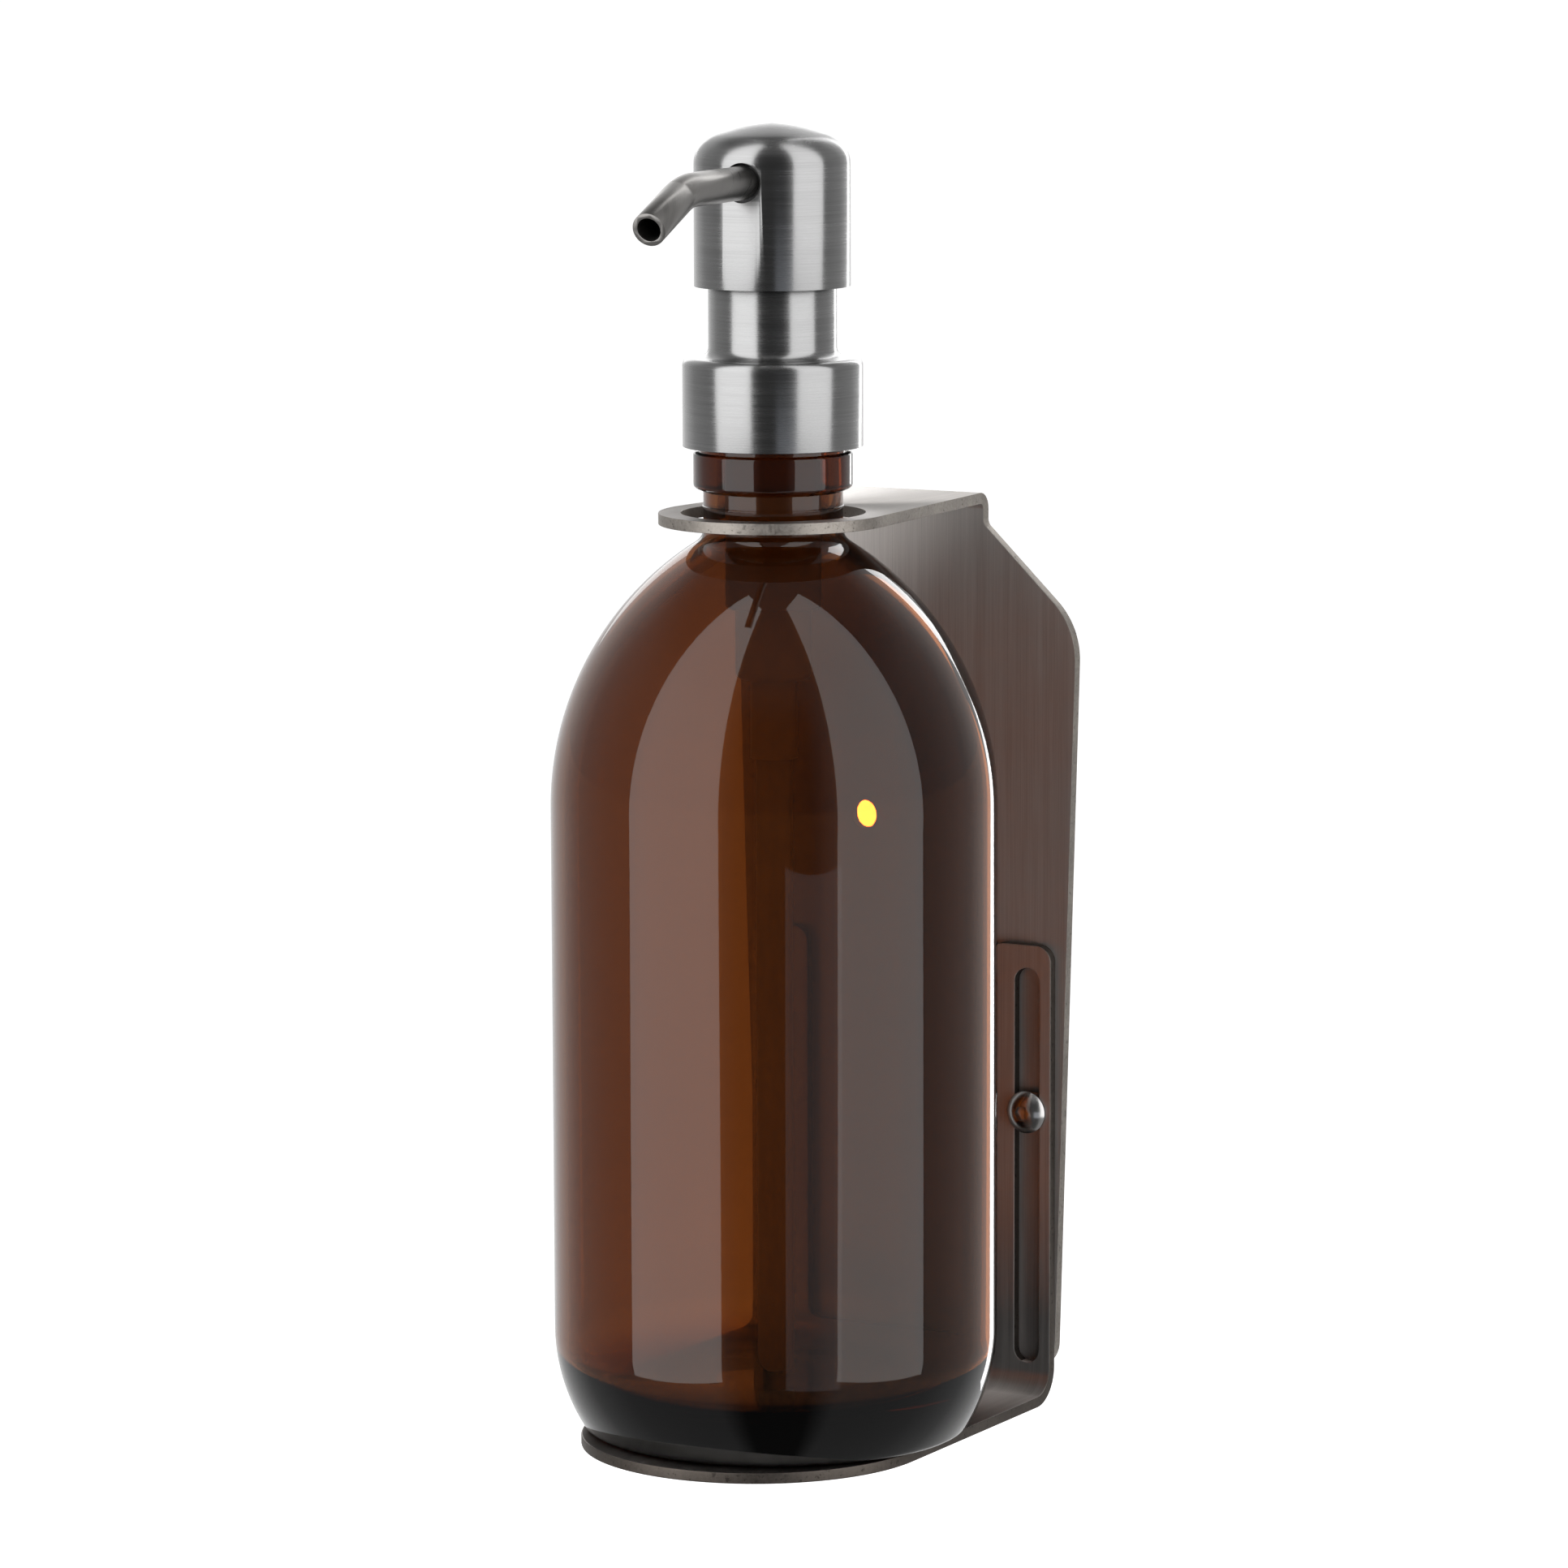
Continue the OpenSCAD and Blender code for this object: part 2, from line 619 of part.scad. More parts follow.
module dip_tube() {
    color([0.93, 0.93, 0.9, 0.8]) at_bottle() difference() {
        ring(dip_tube_r, dip_tube_r - dip_tube_wall, dip_z, dip_top_z);
        // The lower end is cut on the slant so that it can't seal against the floor
        translate([0, 0, dip_z]) rotate([0, dip_slant, 0])
            translate([-dip_tube_d, -dip_tube_d, -2 * dip_tube_d]) cube(2 * dip_tube_d);
    }
}

module return_spring() {
    steps = 14;
    sides = 8;
    turns = spring_turns + 2;
    rings = steps * turns;
    travel = spring_h - spring_wire_d;
    end_h = spring_wire_d * spring_end_lift;
    // Height along the wire: the first and last turns lie nearly flat as ground ends
    function lift(i) = let (t = i / steps)
        t < 1 ? t * end_h
        : t > turns - 1 ? travel - (turns - t) * end_h
        : end_h + (t - 1) * (travel - 2 * end_h) / (turns - 2);
    points = [for (i = [0 : rings]) for (j = [0 : sides - 1])
        let (a = i * 360 / steps, b = j * 360 / sides, w = spring_wire_d / 2)
        [(spring_r + w * cos(b)) * cos(a), (spring_r + w * cos(b)) * sin(a),
            spring_z + w + lift(i) + w * sin(b)]];
    walls = [for (i = [0 : rings - 1]) for (j = [0 : sides - 1]) let (k = (j + 1) % sides)
        [i * sides + j, (i + 1) * sides + j, (i + 1) * sides + k, i * sides + k]];
    ends = [[for (j = [0 : sides - 1]) j], [for (j = [sides - 1 : -1 : 0]) rings * sides + j]];
    color([0.7, 0.7, 0.72]) at_bottle()
        polyhedron(points = points, faces = concat(walls, ends), convexity = 10);
}

module piston_seal() {
    lip = 1.6;
    slope = 0.6;
    edge = 0.3;
    waist_r = piston_r - 0.9;
    end_r = piston_r - slope;
    color([0.9, 0.9, 0.95]) at_bottle() rotate_extrude() polygon([
        [plunger_neck_r + run_gap, piston_z], [end_r, piston_z], [piston_r, piston_z + edge],
        [piston_r, piston_z + lip], [waist_r, piston_z + lip + slope],
        [waist_r, piston_top_z - lip - slope], [piston_r, piston_top_z - lip],
        [piston_r, piston_top_z - edge], [end_r, piston_top_z],
        [plunger_neck_r + run_gap, piston_top_z]]);
}

module plunger() {
    port_r = 0.6;
    tip_h = 2.2;
    tip_gap = 0.3;
    tip_floor = 0.6;
    port_z = plunger_z - port_r - tip_gap;
    color([0.9, 0.9, 0.88]) at_bottle() difference() {
        union() {
            disc(spring_r - spring_wire_d / 2 - tip_gap, plunger_z - tip_h, plunger_z);
            disc(plunger_flange_r, plunger_z, plunger_z + plunger_flange_t);
            disc(plunger_neck_r, plunger_z, stem_z);
            disc(spigot_r, plunger_z, stem_z + spigot_h);
        }
        disc(stem_bore_r, plunger_z - tip_h + tip_floor, stem_z + spigot_h + cut);
        translate([0, 0, port_z]) rotate([0, 90, 0]) cylinder(r = port_r, h = 3 * spring_r, center = true);
    }
}

module stem() {
    color([0.9, 0.9, 0.88]) at_bottle() difference() {
        disc(stem_r, stem_z, stem_top_z);
        disc(stem_bore_r, stem_z - cut, stem_top_z + cut);
        disc(spigot_r, stem_z - cut, stem_z + spigot_h);
        disc(cage_bore_r, outlet_seat_z, stem_top_z + cut);
    }
}

module stem_wiper() {
    color([0.3, 0.3, 0.3]) at_bottle() ring(wiper_r, slide_bore_r, guide_top_z - wiper_h, guide_top_z);
}

module outlet_ball() {
    color([0.75, 0.75, 0.75]) at_bottle() translate([0, 0, outlet_seat_z + ball_rise]) sphere(r = ball_r);
}

// Puts a shape drawn along +X on the spout's line
module at_spout() {
    translate([0, 0, spout_z]) rotate([0, 0, spout_yaw - 90]) children();
}

module head_core() {
    chamfer = 1;
    roof_gap = 0.6;
    roof_r = edge_x - 1;
    roof_z = edge_z + head_edge_r - head_wall - roof_gap;
    color([0.85, 0.85, 0.83]) at_bottle() difference() {
        rotate_extrude() polygon([[0, core_z], [core_r, core_z], [core_r, core_top_z - chamfer],
            [core_r - chamfer, core_top_z], [roof_r, core_top_z], [roof_r, roof_z], [0, roof_z]]);
        disc(stem_r, core_z - cut, stem_top_z);
        disc(stem_bore_r, core_z, spout_z);
        at_spout() translate([-spout_bore_r, 0, 0]) rotate([0, 90, 0]) cylinder(r = spout_bore_r, h = head_r);
        at_spout() translate([spout_root, 0, 0]) rotate([0, 90, 0]) cylinder(r = spout_r, h = head_r);
    }
}

module head_shell() {
    outside = concat([[head_r, head_z]],
        arc(edge_x, edge_z, head_edge_r, 0, 90 - crown_angle),
        arc(0, crown_z, crown_r, 90 - crown_angle, 90));
    inside = concat(
        arc(0, crown_z, crown_r - head_wall, 90, 90 - crown_angle),
        arc(edge_x, edge_z, head_edge_r - head_wall, 90 - crown_angle, 0),
        [[head_r - head_wall, head_z]]);
    color([0.82, 0.82, 0.81]) at_bottle() difference() {
        rotate_extrude() polygon(concat(outside, inside));
        at_spout() rotate([0, 90, 0]) cylinder(r = spout_r + spout_hole_gap, h = head_r + cut);
    }
}

module spout_tube() {
    reach = 2 * spout_bend_r;
    wedge = [[0, 0], reach * [sin(spout_droop), cos(spout_droop)], [0, reach]];
    color([0.55, 0.53, 0.5]) at_bottle()
    at_spout() translate([spout_bend_x, 0, -spout_bend_r]) rotate([90, 0, 0]) {
        translate([spout_root - spout_bend_x, spout_bend_r, 0])
            rotate([0, 90, 0]) ring(spout_r, spout_bore_r, 0, spout_bend_x - spout_root);
        intersection() {
            rotate_extrude() translate([spout_bend_r, 0]) difference() {
                circle(r = spout_r);
                circle(r = spout_bore_r);
            }
            linear_extrude(spout_d + 2 * cut, center = true) polygon(wedge);
        }
        rotate(90 - spout_droop) translate([spout_bend_r, spout_lap, 0]) rotate([90, 0, 0])
            ring(spout_r + spout_swell, spout_bore_r - spout_swell, 0, spout_end_l + spout_lap);
    }
}

upper_bracket();
lower_bracket();
clamp_screws();
clamp_nuts();
bottle();
neck_gasket();
screw_cap();
collar_shell();
pump_housing();
guide_ring();
ball_cage();
inlet_ball();
dip_tube();
return_spring();
piston_seal();
plunger();
stem();
stem_wiper();
outlet_ball();
head_core();
head_shell();
spout_tube();
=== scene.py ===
import math

import bpy
import bmesh
from mathutils import Matrix, Vector


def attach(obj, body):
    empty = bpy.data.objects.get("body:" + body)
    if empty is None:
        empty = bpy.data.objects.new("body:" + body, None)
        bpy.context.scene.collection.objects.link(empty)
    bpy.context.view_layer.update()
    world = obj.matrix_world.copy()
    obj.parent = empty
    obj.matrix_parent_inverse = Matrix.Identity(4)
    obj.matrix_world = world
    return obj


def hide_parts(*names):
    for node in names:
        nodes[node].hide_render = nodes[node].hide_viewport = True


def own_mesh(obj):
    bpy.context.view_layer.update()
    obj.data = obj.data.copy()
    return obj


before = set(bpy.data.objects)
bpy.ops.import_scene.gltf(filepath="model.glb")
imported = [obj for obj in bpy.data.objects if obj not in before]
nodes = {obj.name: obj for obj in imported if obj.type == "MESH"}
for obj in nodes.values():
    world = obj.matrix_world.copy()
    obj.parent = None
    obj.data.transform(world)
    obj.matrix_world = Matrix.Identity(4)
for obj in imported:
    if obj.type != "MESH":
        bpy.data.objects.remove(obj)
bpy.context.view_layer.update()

MM = 0.001

# Where the bottle's axis stands behind the wall face, and how far its foot is below the origin
AXIS_Y = -48.6 * MM
FOOT_Z = -102 * MM


# ---------------------------------------------------------------- shader sums

class Wire:
    """A socket's value, which takes part in ordinary sums."""

    def __init__(self, finish, socket):
        self.finish = finish
        self.socket = socket

    def sum(self, operation, *values):
        return self.finish.node("ShaderNodeMath", {"operation": operation}, values)

    def __add__(self, other):
        return self.sum("ADD", self, other)

    def __radd__(self, other):
        return self.sum("ADD", other, self)

    def __sub__(self, other):
        return self.sum("SUBTRACT", self, other)

    def __rsub__(self, other):
        return self.sum("SUBTRACT", other, self)

    def __mul__(self, other):
        return self.sum("MULTIPLY", self, other)

    def __rmul__(self, other):
        return self.sum("MULTIPLY", other, self)

    def __truediv__(self, other):
        return self.sum("DIVIDE", self, other)

    def __pow__(self, other):
        return self.sum("POWER", self, other)


class Finish:
    """A node tree that is written as expressions, for a material or for the studio's world."""

    def __init__(self, owner):
        owner.use_nodes = True
        self.owner = owner
        self.tree = owner.node_tree
        self.tree.nodes.clear()

    def node(self, kind, settings=None, values=(), output=0):
        made = self.tree.nodes.new(kind)
        for name, value in (settings or {}).items():
            if name == "stops":
                ramp = made.color_ramp
                while len(ramp.elements) < len(value):
                    ramp.elements.new(0.5)
                for element, (place, colour) in zip(ramp.elements, value):
                    element.position = place
                    element.color = colour
            else:
                setattr(made, name, value)
        pairs = values.items() if isinstance(values, dict) else enumerate(values)
        for key, value in pairs:
            if isinstance(value, Wire):
                self.tree.links.new(value.socket, made.inputs[key])
            elif value is not None:
                made.inputs[key].default_value = value
        self.last = made
        return Wire(self, made.outputs[output]) if len(made.outputs) else None

    def mix(self, factor, first, second):
        return self.node(
            "ShaderNodeMix", {"data_type": "RGBA"}, {0: factor, 6: first, 7: second}, output=2
        )

    def noise(self, place, scale, detail=2.0, roughness=0.5):
        return self.node(
            "ShaderNodeTexNoise",
            {},
            {"Vector": place, "Scale": scale, "Detail": detail, "Roughness": roughness},
        )

    def smooth(self, value, low, high):
        return self.node(
            "ShaderNodeMapRange", {"interpolation_type": "SMOOTHSTEP"}, (value, low, high, 0.0, 1.0)
        )

    def vector(self, x, y, z):
        return self.node("ShaderNodeCombineXYZ", {}, (x, y, z))

    def place(self):
        """Object coordinates as three wires: across, deep and up."""
        point = self.node("ShaderNodeTexCoord", output=3)
        self.node("ShaderNodeSeparateXYZ", {}, (point,))
        split = self.last
        return [Wire(self, socket) for socket in split.outputs]

    def bump(self, height, distance, strength=1.0):
        return self.node(
            "ShaderNodeBump", {}, {"Strength": strength, "Distance": distance, "Height": height}
        )

    def surface(self, **sockets):
        shader = self.node(
            "ShaderNodeBsdfPrincipled",
            {},
            {name.replace("_", " "): v for name, v in sockets.items()},
        )
        self.node("ShaderNodeOutputMaterial", {}, {"Surface": shader})
        return self.last


def rgb(red, green, blue):
    return (red, green, blue, 1.0)


def shade(colour, by):
    return (colour[0] * by, colour[1] * by, colour[2] * by, 1.0)


# ------------------------------------------------------------------ finishes

def steel(name, colour, grain, rough, streak, anisotropy=0.0, turn=0.0, bump=0.4):
    """Brushed steel. grain turns the place into the point at which the brushing is looked up."""
    finish = Finish(bpy.data.materials.new(name))
    x, y, z = finish.place()
    fine = finish.noise(grain(finish, x, y, z, 1.0), 1.0, 4.0, 0.65)
    broad = finish.noise(grain(finish, x, y, z, 0.16), 1.0, 2.0, 0.5)
    cloud = finish.noise(finish.vector(x, y, z), 45.0, 3.0, 0.5)
    marks = fine * 0.65 + broad * 0.35
    tone = finish.smooth(marks, 0.3, 0.7)
    finish.surface(
        Base_Color=finish.mix(tone, shade(colour, 1 - streak), shade(colour, 1 + streak)),
        Metallic=1.0,
        Roughness=rough + (marks - 0.5) * 0.3 + (cloud - 0.5) * 0.1,
        Anisotropic=anisotropy,
        Anisotropic_Rotation=turn,
        Normal=finish.bump(marks, 0.02 * MM, bump),
    )
    return finish.owner


def round_grain(finish, x, y, z, size):
    """Brushing that runs round the pump's axis, on its walls and on its crown."""
    deep = y - AXIS_Y
    out = (x * x + deep * deep) ** 0.5
    return finish.vector(x * 70 * size, y * 70 * size, (z + out) * 4200 * size)


def long_grain(finish, x, y, z, size):
    """Brushing that runs along the sheet: up the plate, and on over its bend."""
    return finish.vector(x * 4200 * size, y * 40 * size, z * 40 * size)


def cut_steel(name, colour):
    """The sheet's cut edge: matt, speckled, with fine marks across its thickness."""
    finish = Finish(bpy.data.materials.new(name))
    x, y, z = finish.place()
    point = finish.vector(x, y, z)
    speck = finish.noise(point, 1600.0, 3.0, 0.7)
    pits = finish.smooth(finish.noise(point, 1100.0, 2.0, 0.6), 0.3, 0.4)
    cloud = finish.noise(point, 120.0, 2.0, 0.5)
    tone = finish.smooth(speck * 0.6 + cloud * 0.4, 0.35, 0.68)
    worn = finish.mix(tone, shade(colour, 0.78), shade(colour, 1.15))
    finish.surface(
        Base_Color=finish.mix(pits, shade(colour, 0.55), worn),
        Metallic=1.0,
        Roughness=0.5 + (speck - 0.5) * 0.4,
        Normal=finish.bump(speck * 0.6 + pits * 0.4, 0.03 * MM, 0.5),
    )
    return finish.owner


def bright_steel(name, colour, rough):
    """Polished steel with faint handling marks."""
    finish = Finish(bpy.data.materials.new(name))
    x, y, z = finish.place()
    point = finish.vector(x, y, z)
    haze = finish.noise(point, 400.0, 4.0, 0.6)
    fine = finish.noise(point, 3000.0, 2.0, 0.6)
    finish.surface(
        Base_Color=finish.mix(haze, shade(colour, 0.86), shade(colour, 1.08)),
        Metallic=1.0,
        Roughness=rough + (haze - 0.5) * 0.16,
        Normal=finish.bump(fine, 0.01 * MM, 0.3),
    )
    return finish.owner


def moulded(name, colour, rough):
    """Moulded plastic or rubber: an even skin with a faint orange peel and a cloudy colour."""
    finish = Finish(bpy.data.materials.new(name))
    x, y, z = finish.place()
    point = finish.vector(x, y, z)
    cloud = finish.noise(point, 90.0, 3.0, 0.5)
    skin = finish.noise(point, 1500.0, 2.0, 0.5)
    finish.surface(
        Base_Color=finish.mix(cloud, shade(colour, 0.88), shade(colour, 1.08)),
        Roughness=rough + (skin - 0.5) * 0.2,
        IOR=1.49,
        Normal=finish.bump(skin, 0.02 * MM, 0.35),
    )
    return finish.owner


def amber_glass(name):
    """Moulded brown glass: a slow ripple from the mould, and colour that deepens with thickness."""
    finish = Finish(bpy.data.materials.new(name))
    x, y, z = finish.place()
    ripple = finish.noise(finish.vector(x * 38, y * 38, z * 12), 1.0, 1.0, 0.4)
    finish.surface(
        Base_Color=finish.mix(ripple, rgb(0.52, 0.35, 0.18), rgb(0.57, 0.39, 0.21)),
        Roughness=0.0,
        IOR=1.5,
        Transmission_Weight=1.0,
        Normal=finish.bump(ripple, 0.35 * MM, 0.25),
    )
    depth = finish.node(
        "ShaderNodeVolumeAbsorption", {}, {"Color": rgb(0.62, 0.4, 0.12), "Density": 620.0}
    )
    output = [n for n in finish.tree.nodes if n.type == "OUTPUT_MATERIAL"][0]
    finish.tree.links.new(depth.socket, output.inputs["Volume"])
    return finish.owner


PUMP_STEEL = steel(
    "pump_steel", (0.36, 0.36, 0.36), round_grain, 0.25, 0.09, anisotropy=0.8, turn=0.25
)
SPOUT_STEEL = steel("spout_steel", (0.28, 0.27, 0.26), round_grain, 0.32, 0.08)
PLATE_STEEL = steel("bracket_steel", (0.58, 0.55, 0.525), long_grain, 0.48, 0.12, anisotropy=0.85)
SHELF_STEEL = steel("shelf_steel", (0.58, 0.55, 0.525), long_grain, 0.42, 0.12, anisotropy=0.8)
EDGE_STEEL = cut_steel("cut_edge_steel", (0.4, 0.365, 0.33))
# A darker copy of the cut-edge steel for the shelf: the darkness is painted shade on the shelf's edge, not
# a different finish
SHADED_SHELF_EDGE = cut_steel("shaded_shelf_edge_steel", (0.13, 0.112, 0.098))
SCREW_STEEL = bright_steel("screw_steel", (0.6, 0.59, 0.58), 0.2)
BALL_STEEL = bright_steel("ball_steel", (0.75, 0.75, 0.75), 0.08)
SPRING_STEEL = bright_steel("spring_steel", (0.58, 0.58, 0.58), 0.3)
PUMP_PLASTIC = moulded("pump_plastic", (0.5, 0.49, 0.46), 0.4)
PISTON_PLASTIC = moulded("piston_plastic", (0.62, 0.64, 0.66), 0.3)
CAP_PLASTIC = moulded("dark_plastic", (0.035, 0.035, 0.035), 0.5)
SEAL_RUBBER = moulded("seal_rubber", (0.09, 0.09, 0.09), 0.7)
AMBER_GLASS = amber_glass("amber_glass")


# ------------------------------------------------------------ making meshes

def deselect():
    bpy.ops.object.select_all(action="DESELECT")


def only(obj):
    deselect()
    obj.select_set(True)
    bpy.context.view_layer.objects.active = obj


def weld(node, name):
    """A copy of a CAD node whose triangles are joined, with its flat faces made whole."""
    piece = nodes[node].copy()
    piece.data = nodes[node].data.copy()
    piece.name = name
    piece.data.name = name
    bpy.context.scene.collection.objects.link(piece)
    piece.parent = None
    piece.matrix_world = Matrix.Identity(4)
    piece.data.materials.clear()
    only(piece)
    if piece.data.has_custom_normals:
        bpy.ops.mesh.customdata_custom_splitnormals_clear()
    bpy.ops.object.mode_set(mode="EDIT")
    bpy.ops.mesh.select_all(action="SELECT")
    bpy.ops.mesh.remove_doubles(threshold=0.002 * MM)
    bpy.ops.mesh.dissolve_limited(angle_limit=math.radians(0.5))
    bpy.ops.object.mode_set(mode="OBJECT")
    return piece


def soften(piece, width, segments=2, limit=40):
    only(piece)
    bevel = piece.modifiers.new("edges", "BEVEL")
    bevel.width = width
    bevel.segments = segments
    bevel.limit_method = "ANGLE"
    bevel.angle_limit = math.radians(limit)
    bevel.use_clamp_overlap = True
    bpy.ops.object.modifier_apply(modifier="edges")


def smooth(piece, angle=35):
    only(piece)
    bpy.ops.object.shade_smooth_by_angle(angle=math.radians(angle))


def level_shading(piece):
    """Lets the large flat faces set the shading, so that their bevels don't tint them."""
    only(piece)
    weights = piece.modifiers.new("shading", "WEIGHTED_NORMAL")
    weights.mode = "FACE_AREA"
    weights.weight = 100
    weights.keep_sharp = True
    bpy.ops.object.modifier_apply(modifier="shading")


def stand_for(piece, body, slot, *replaced):
    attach(piece, body)
    if replaced:
        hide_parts(*replaced)


def spun(name, profile, steps=144):
    """A turned solid round the bottle's axis, from a closed profile of (radius, height) in mm."""
    deselect()
    bpy.ops.mesh.primitive_plane_add(size=MM, location=(0, 0, 0))
    piece = bpy.context.object
    piece.name = name
    piece.data.name = name
    mesh = bmesh.new()
    points = [mesh.verts.new((r * MM, AXIS_Y, z * MM + FOOT_Z)) for r, z in profile]
    for first, second in zip(points, points[1:]):
        mesh.edges.new((first, second))
    mesh.to_mesh(piece.data)
    mesh.free()
    only(piece)
    bpy.ops.object.mode_set(mode="EDIT")
    bpy.ops.mesh.select_all(action="SELECT")
    bpy.ops.mesh.spin(
        steps=steps, angle=2 * math.pi, center=(0, AXIS_Y, 0), axis=(0, 0, 1), use_auto_merge=True
    )
    bpy.ops.mesh.select_all(action="SELECT")
    bpy.ops.mesh.remove_doubles(threshold=0.001 * MM)
    bpy.ops.mesh.normals_make_consistent(inside=False)
    bpy.ops.object.mode_set(mode="OBJECT")
    return piece


# ------------------------------------------------------------------- bottle

def arc(x, y, r, start, end, steps=16):
    turn = (end - start) / steps
    return [
        (x + r * math.cos(math.radians(start + turn * i)), y + r * math.sin(math.radians(start + turn * i)))
        for i in range(steps + 1)
    ]


def bottle_profile():
    body_r, neck_r, bore_r = 38.9, 12.1, 9.7
    wall, floor, top, inner_heel = 2.4, 7.5, 182.5, 8.0
    shoulder_z, shoulder_h, fillet = 110.0, 47.0, 3.0
    bead_r, thread_r, finish_r, finish_z, bead_h = 13.8, 13.6, 12.7, 171.9, 6.4
    heel_h, tuck, foot_corner = 18.0, 5.4, 1.8
    push_up, push_up_r = 1.2, 8
    neck_ring_z, neck_ring_h, neck_ring_step, neck_ring_slope = 162.2, 0.4, 0.14, 0.1
    bead_under_r, bead_edge_r, bead_lip = 0.8, 0.6, 0.5
    rim_r, bore_edge_r = 0.6, 0.5
    thread_heights, thread_root, thread_crest = (2.88, 6.08), 0.9, 0.3
    step = body_r - neck_r
    shoulder_r = (step ** 2 + shoulder_h ** 2) / (2 * step)
    shoulder_x = body_r - shoulder_r
    fillet_x = neck_r + fillet
    fillet_z = shoulder_z + math.sqrt((shoulder_r + fillet) ** 2 - (fillet_x - shoulder_x) ** 2)
    fillet_turn = math.degrees(math.atan2(fillet_z - shoulder_z, fillet_x - shoulder_x))
    heel_r = (tuck ** 2 + heel_h ** 2) / (2 * tuck)
    foot_turn = math.degrees(math.asin((heel_h - foot_corner) / (heel_r - foot_corner)))
    foot_x = body_r - heel_r + (heel_r - foot_corner) * math.cos(math.radians(foot_turn))
    floor_r = body_r - wall - inner_heel
    outside = [(0, push_up), (push_up_r, push_up), (foot_x - 6, push_up), (foot_x - 4, push_up)]
    outside += [(foot_x - 3.4, 1.0), (foot_x - 2.8, 0.2)]
    outside += arc(foot_x, foot_corner, foot_corner, -90, -foot_turn, 6)
    outside += arc(body_r - heel_r, heel_h, heel_r, -foot_turn, 0, 20)
    outside += [(body_r, shoulder_z * 0.5)]
    outside += arc(shoulder_x, shoulder_z, shoulder_r, 0, fillet_turn, 48)
    outside += arc(fillet_x, fillet_z, fillet, fillet_turn - 180, -180, 8)
    # The fine line that the mould's neck ring leaves
    ring_r, ring_top = neck_r + neck_ring_step, neck_ring_z + neck_ring_h
    outside += [(neck_r, neck_ring_z), (ring_r, neck_ring_z + neck_ring_slope)]
    outside += [(ring_r, ring_top - neck_ring_slope), (neck_r, ring_top)]
    outside += [(neck_r, finish_z - bead_h - bead_lip)]
    outside += arc(
        bead_r - bead_under_r, finish_z - bead_h + bead_under_r, bead_under_r, -60, 0, 6
    )
    outside += arc(bead_r - bead_edge_r, finish_z - bead_edge_r, bead_edge_r, 0, 90, 6)
    outside += [(finish_r, finish_z)]
    for height in thread_heights:
        z = finish_z + height
        outside += [(finish_r, z - thread_root), (thread_r, z - thread_crest)]
        outside += [(thread_r, z + thread_crest), (finish_r, z + thread_root)]
    outside += arc(finish_r - rim_r, top - rim_r, rim_r, 0, 90, 6)
    inside = arc(bore_r + bore_edge_r, top - bore_edge_r, bore_edge_r, 90, 180, 6)
    inside += arc(fillet_x, fillet_z, fillet + wall, -180, fillet_turn - 180, 10)
    inside += arc(shoulder_x, shoulder_z, shoulder_r - wall, fillet_turn, 0, 48)
    inside += [(body_r - wall, shoulder_z * 0.5)]
    inside += arc(floor_r, floor + inner_heel, inner_heel, 0, -90, 20)
    inside += [(floor_r * 0.5, floor + 0.2), (0, floor + 0.6)]
    return outside + inside


bottle = spun("glass_bottle", bottle_profile(), 192)
bottle.data.materials.append(AMBER_GLASS)
smooth(bottle, 30)
stand_for(bottle, "bottle_body", "amber_glass", "bottle")


# ------------------------------------------------------------------ bracket

# A face is part of a cut edge when its normal leans this far from the sheet's own face
SIDE_NORMAL, EDGE_NORMAL = 0.35, 0.6


def edge_faces(piece, low_bend, high_bend, tab_side):
    """Gives the cut edges their own finish. Between the two heights the sheet is upright."""
    for face in piece.data.polygons:
        normal, middle = face.normal, face.center
        upright = low_bend < middle.z < high_bend
        flat = middle.y < tab_side
        on_side = abs(normal.x) > SIDE_NORMAL
        on_shelf_edge = flat and abs(normal.z) < EDGE_NORMAL
        on_sheet_edge = not flat and upright and abs(normal.y) < EDGE_NORMAL
        face.material_index = int(on_side or on_shelf_edge or on_sheet_edge)


wall_plate = weld("upper_bracket", "wall_plate")
wall_plate.data.materials.append(PLATE_STEEL)
wall_plate.data.materials.append(EDGE_STEEL)
edge_faces(wall_plate, -1.0, 0.0555, -0.0055)
soften(wall_plate, 0.3 * MM)
smooth(wall_plate)
level_shading(wall_plate)
stand_for(wall_plate, "wall_bracket", "bracket_steel", "upper_bracket")

shelf = weld("lower_bracket", "slotted_shelf")
shelf.data.materials.append(SHELF_STEEL)
# The shelf's cut edges take the darker copy of the cut-edge steel, which is painted shade
shelf.data.materials.append(SHADED_SHELF_EDGE)
edge_faces(shelf, FOOT_Z + 5.5 * MM, 1.0, AXIS_Y + 38 * MM)
soften(shelf, 0.3 * MM)
smooth(shelf)
level_shading(shelf)
stand_for(shelf, "shelf", "bracket_steel", "lower_bracket")

for node, name, body, slot, material, edge in (
    ("clamp_screws", "clamp_screw_pair", "wall_bracket", "screw_steel", SCREW_STEEL, 0.08),
    ("clamp_nuts", "clinch_nut_pair", "wall_bracket", "screw_steel", SCREW_STEEL, 0.1),
    ("collar_shell", "collar_and_sleeve", "cap", "pump_steel", PUMP_STEEL, 0.12),
    ("head_shell", "head_cover", "head", "pump_steel", PUMP_STEEL, 0.12),
    ("spout_tube", "bent_spout", "head", "spout_steel", SPOUT_STEEL, 0.1),
    ("pump_housing", "pump_barrel", "pump", "pump_plastic", PUMP_PLASTIC, 0.1),
    ("dip_tube", "suction_tube", "pump", "pump_plastic", PUMP_PLASTIC, 0.1),
    ("screw_cap", "inner_cap", "cap", "dark_plastic", CAP_PLASTIC, 0.1),
):
    piece = weld(node, name)
    piece.data.materials.append(material)
    soften(piece, edge * MM)
    smooth(piece)
    stand_for(piece, body, slot, node)

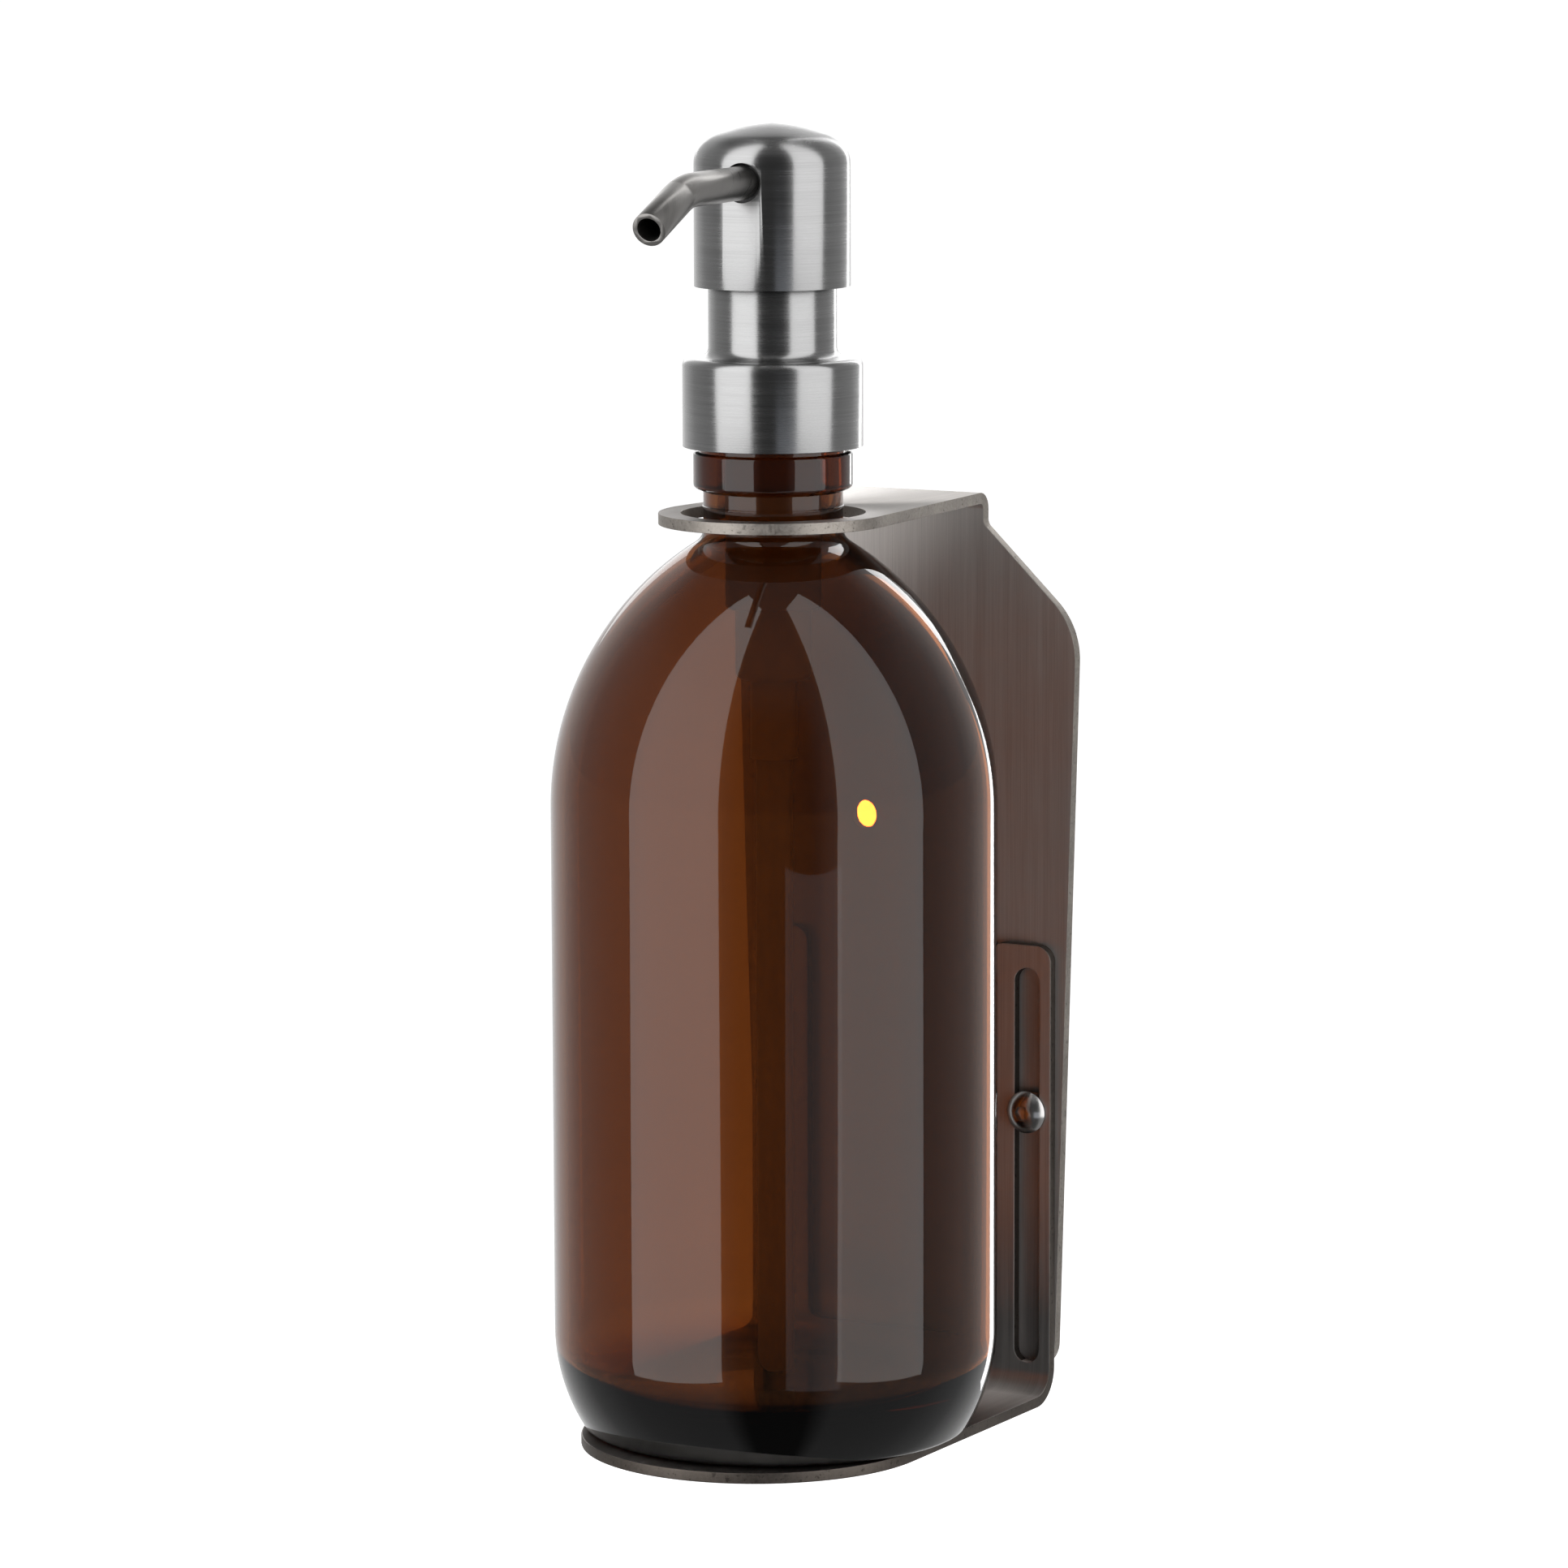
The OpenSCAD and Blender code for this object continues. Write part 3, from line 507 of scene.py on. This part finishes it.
for node, material in (
    ("neck_gasket", SEAL_RUBBER),
    ("stem_wiper", SEAL_RUBBER),
    ("guide_ring", PUMP_PLASTIC),
    ("ball_cage", PUMP_PLASTIC),
    ("plunger", PUMP_PLASTIC),
    ("stem", PUMP_PLASTIC),
    ("head_core", CAP_PLASTIC),
    ("piston_seal", PISTON_PLASTIC),
    ("inlet_ball", BALL_STEEL),
    ("outlet_ball", BALL_STEEL),
):
    slots = nodes[node].material_slots
    if len(slots):
        slots[0].material = material
    else:
        nodes[node].data.materials.append(material)


# The return spring stands on the valve cage
spring = weld("return_spring", "coil_spring")
spring.data.materials.append(SPRING_STEEL)
smooth(spring, 50)
stand_for(spring, "pump", "spring_steel", "return_spring")
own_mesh(spring)


# ------------------------------------------------------------ camera, studio

CAMERA_TURN = math.radians(30)
CAMERA_RISE = math.radians(8.5)
CAMERA_ROLL = math.radians(-0.2)
CAMERA_FAR = 1200 * MM
AIM = Vector((0, AXIS_Y, FOOT_Z + 107.5 * MM))

back = Vector((
    math.sin(CAMERA_TURN) * math.cos(CAMERA_RISE),
    -math.cos(CAMERA_TURN) * math.cos(CAMERA_RISE),
    math.sin(CAMERA_RISE),
))
right = Vector((math.cos(CAMERA_TURN), math.sin(CAMERA_TURN), 0))
up = back.cross(right)
right_rolled = right * math.cos(CAMERA_ROLL) + up * math.sin(CAMERA_ROLL)
up_rolled = up * math.cos(CAMERA_ROLL) - right * math.sin(CAMERA_ROLL)

lens = bpy.data.cameras.new("camera")
lens.sensor_width = 36
lens.lens = 8500 / 1932 * 36
lens.shift_x = 12 / 1932
lens.shift_y = 44 / 1932
lens.clip_start = 0.01
lens.clip_end = 50
camera = bpy.data.objects.new("camera", lens)
bpy.context.scene.collection.objects.link(camera)
camera.matrix_world = Matrix.Translation(AIM + back * CAMERA_FAR) @ Matrix(
    (right_rolled, up_rolled, back)
).transposed().to_4x4()
bpy.context.scene.camera = camera
bpy.context.scene.view_settings.view_transform = "Standard"


def softbox(name, turn, width, low, high, far, strength, colour=(1, 1, 1)):
    """An upright panel of light at an angle from the camera's side of the bottle."""
    angle = CAMERA_TURN + math.radians(turn)
    light = bpy.data.lights.new(name, "AREA")
    light.shape = "RECTANGLE"
    light.size = width
    light.size_y = high - low
    light.color = colour
    # An area light's power is its radiance times pi times its area
    light.energy = strength * math.pi * width * (high - low)
    panel = bpy.data.objects.new(name, light)
    bpy.context.scene.collection.objects.link(panel)
    out = Vector((math.sin(angle), -math.cos(angle), 0))
    across = Vector((math.cos(angle), math.sin(angle), 0))
    middle = Vector((0, AXIS_Y, FOOT_Z + (low + high) / 2)) + out * far
    panel.matrix_world = Matrix.Translation(middle) @ Matrix(
        (across, Vector((0, 0, 1)), out)
    ).transposed().to_4x4()
    panel.visible_camera = False
    return panel


softbox("left_softbox", -53, 0.8, -0.3, 4.5, 0.85, 1.75)
softbox("right_softbox", 56, 0.78, -0.3, 4.5, 0.85, 1.45)
softbox("rim_softbox", 150, 0.12, -0.3, 2.5, 0.85, 3.5)
softbox("back_softbox", 180, 1.2, 0.27, 0.8, 1.5, 1.05)
softbox("front_card", 19, 0.25, -0.2, 0.035, 0.5, 0.35, (0.85, 0.9, 1.0))

# A small light behind the wall plate shines out through its screw hole, towards the camera
hole = Vector((-7 * MM, 0, 0))
glint = bpy.data.lights.new("hole_light", "AREA")
glint.shape = "DISK"
glint.size = 5 * MM
glint.spread = math.radians(24)
glint.color = (1.0, 0.5, 0.3)
glint_brightness, glint_r = 3, 2.5 * MM
glint.energy = glint_brightness * math.pi * math.pi * glint_r ** 2
hole_light = bpy.data.objects.new("hole_light", glint)
bpy.context.scene.collection.objects.link(hole_light)
hole_light.matrix_world = Matrix.Translation(hole - back * 4 * MM) @ Matrix(
    (right, up, back)
).transposed().to_4x4() @ Matrix.Rotation(math.pi, 4, "Y")
hole_light.visible_camera = False

world = bpy.data.worlds.new("studio")
bpy.context.scene.world = world
sky = Finish(world)
way = sky.node("ShaderNodeTexCoord", output=0)
sky.node("ShaderNodeSeparateXYZ", {}, (way,))
wx, wy, wz = [Wire(sky, socket) for socket in sky.last.outputs]
# How far round a ray goes from the camera's side: 1 towards the camera, 0 away from it
front = wx * math.sin(CAMERA_TURN) - wy * math.cos(CAMERA_TURN)
side = wx * math.cos(CAMERA_TURN) + wy * math.sin(CAMERA_TURN)
level_way = (front * front + side * side + 0.0001) ** 0.5
round_way = front / level_way * 0.5 + 0.5
# Dark cards stand beside the backdrop and by the camera, and draw the edges of steel and glass
wall_glow = sky.node("ShaderNodeValToRGB", {"stops": [
    (place, rgb(glow, glow, glow)) for place, glow in (
        (0.0, 0.95), (0.07, 0.75), (0.25, 0.4), (0.5, 0.3), (0.92, 0.3), (0.975, 0.06), (1.0, 0.06))
]}, (round_way,))
high = sky.smooth(wz, 0.5, 0.85)
glow = wall_glow * (1 - high) + high * 0.18
seen = sky.node("ShaderNodeLightPath")
level = seen * 1.0 + (1 - seen) * glow
ground = sky.node("ShaderNodeBackground", {}, {"Color": rgb(1, 1, 1), "Strength": level})
sky.node("ShaderNodeOutputWorld", {}, {"Surface": ground})

deselect()
bpy.ops.mesh.primitive_grid_add(
    x_subdivisions=8, y_subdivisions=8, size=400, location=(0, 0, FOOT_Z - 0.25)
)
floor = bpy.context.object
floor.name = "studio_floor"
floor_finish = Finish(bpy.data.materials.new("pale_floor"))
fx, fy, fz = floor_finish.place()
floor_cloud = floor_finish.noise(floor_finish.vector(fx, fy, fz), 3.0, 2.0, 0.5)
floor_finish.surface(
    Base_Color=floor_finish.mix(floor_cloud, rgb(0.9, 0.9, 0.9), rgb(0.93, 0.93, 0.93)),
    Roughness=0.8,
    Emission_Color=rgb(1, 1, 1),
    Emission_Strength=0.76,
)
floor.data.materials.append(floor_finish.owner)
floor.visible_glossy = False
